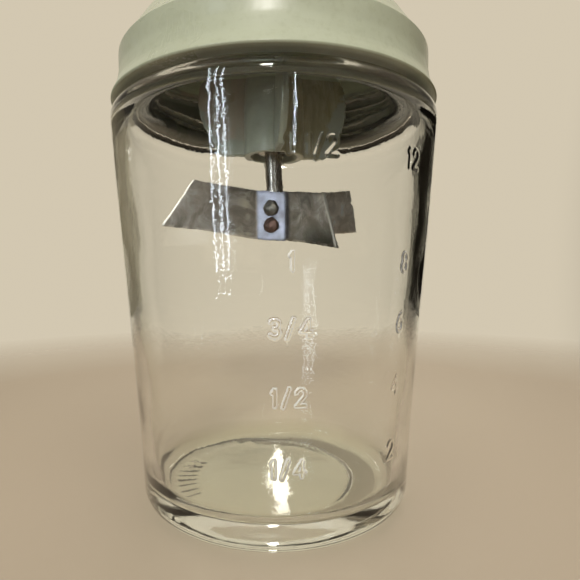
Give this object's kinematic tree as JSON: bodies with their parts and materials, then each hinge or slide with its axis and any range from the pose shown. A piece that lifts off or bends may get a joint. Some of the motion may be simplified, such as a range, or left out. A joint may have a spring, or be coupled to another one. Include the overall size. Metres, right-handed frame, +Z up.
{
  "type": "hand food chopper",
  "caption": "Hand food chopper: tapered glass jar, screw lid with a spring well, and a sprung plunger that pushes bent blades down into the jar.",
  "frame": {"origin": "under the middle of the jar, on the surface it stands on", "axes": "+Z up along the jar, the lid and the shaft; -Y is the front, where the cup marks are"},
  "size_m": [0.0868, 0.0868, 0.2286],
  "materials": {
    "clear_glass": "smooth pressed clear glass",
    "sage_plastic": "pale sage green moulded plastic, softly glossy",
    "seal_rubber": "off-white, matt",
    "nylon": "natural, satin",
    "spring_steel": "bright drawn wire and pressed washers",
    "polished_steel": "turned, polished",
    "blade_steel": "worn, stained and scratched strip"
  },
  "bodies": {
    "jar": {"glass_jar": "clear_glass"},
    "seal": {"lid_seal": "seal_rubber"},
    "lid": {"lid_band": "sage_plastic", "lid_dome": "sage_plastic", "guide_bush": "nylon", "spring_seat": "spring_steel", "return_spring": "spring_steel"},
    "press": {"spring_cap": "spring_steel"},
    "plunger": {"shaft": "polished_steel", "stop_washer": "polished_steel", "stop_clip": "polished_steel", "knob_shell": "sage_plastic", "knob_base": "sage_plastic", "knob_pin": "polished_steel", "front_blade": "blade_steel", "rear_blade": "blade_steel", "lower_rivet": "polished_steel", "upper_rivet": "polished_steel"}
  },
  "joints": [
    {"name": "lid_lift", "type": "slide", "parent": "jar", "child": "seal", "axis": [0, 0, 1], "range_m": [0, 0.00574]},
    {"name": "lid_turn", "type": "hinge", "parent": "seal", "child": "lid", "pos_m": [0, 0, 0.1052], "axis": [0, 0, 1], "range_deg": [0, 450]},
    {"name": "plunger_press", "type": "slide", "parent": "lid", "child": "press", "axis": [0, 0, -1], "range_m": [0, 0.057], "stiffness_N_per_m": 400, "springref_m": -0.015, "deforming": ["return_spring"]},
    {"name": "knob_spin", "type": "hinge", "parent": "press", "child": "plunger", "pos_m": [0, 0, 0.2064], "axis": [0, 0, 1], "continuous": true}
  ],
  "couplings": [
    {"joint": "lid_turn", "follows": "lid_lift", "rad_per_m": 1365.9}
  ]
}
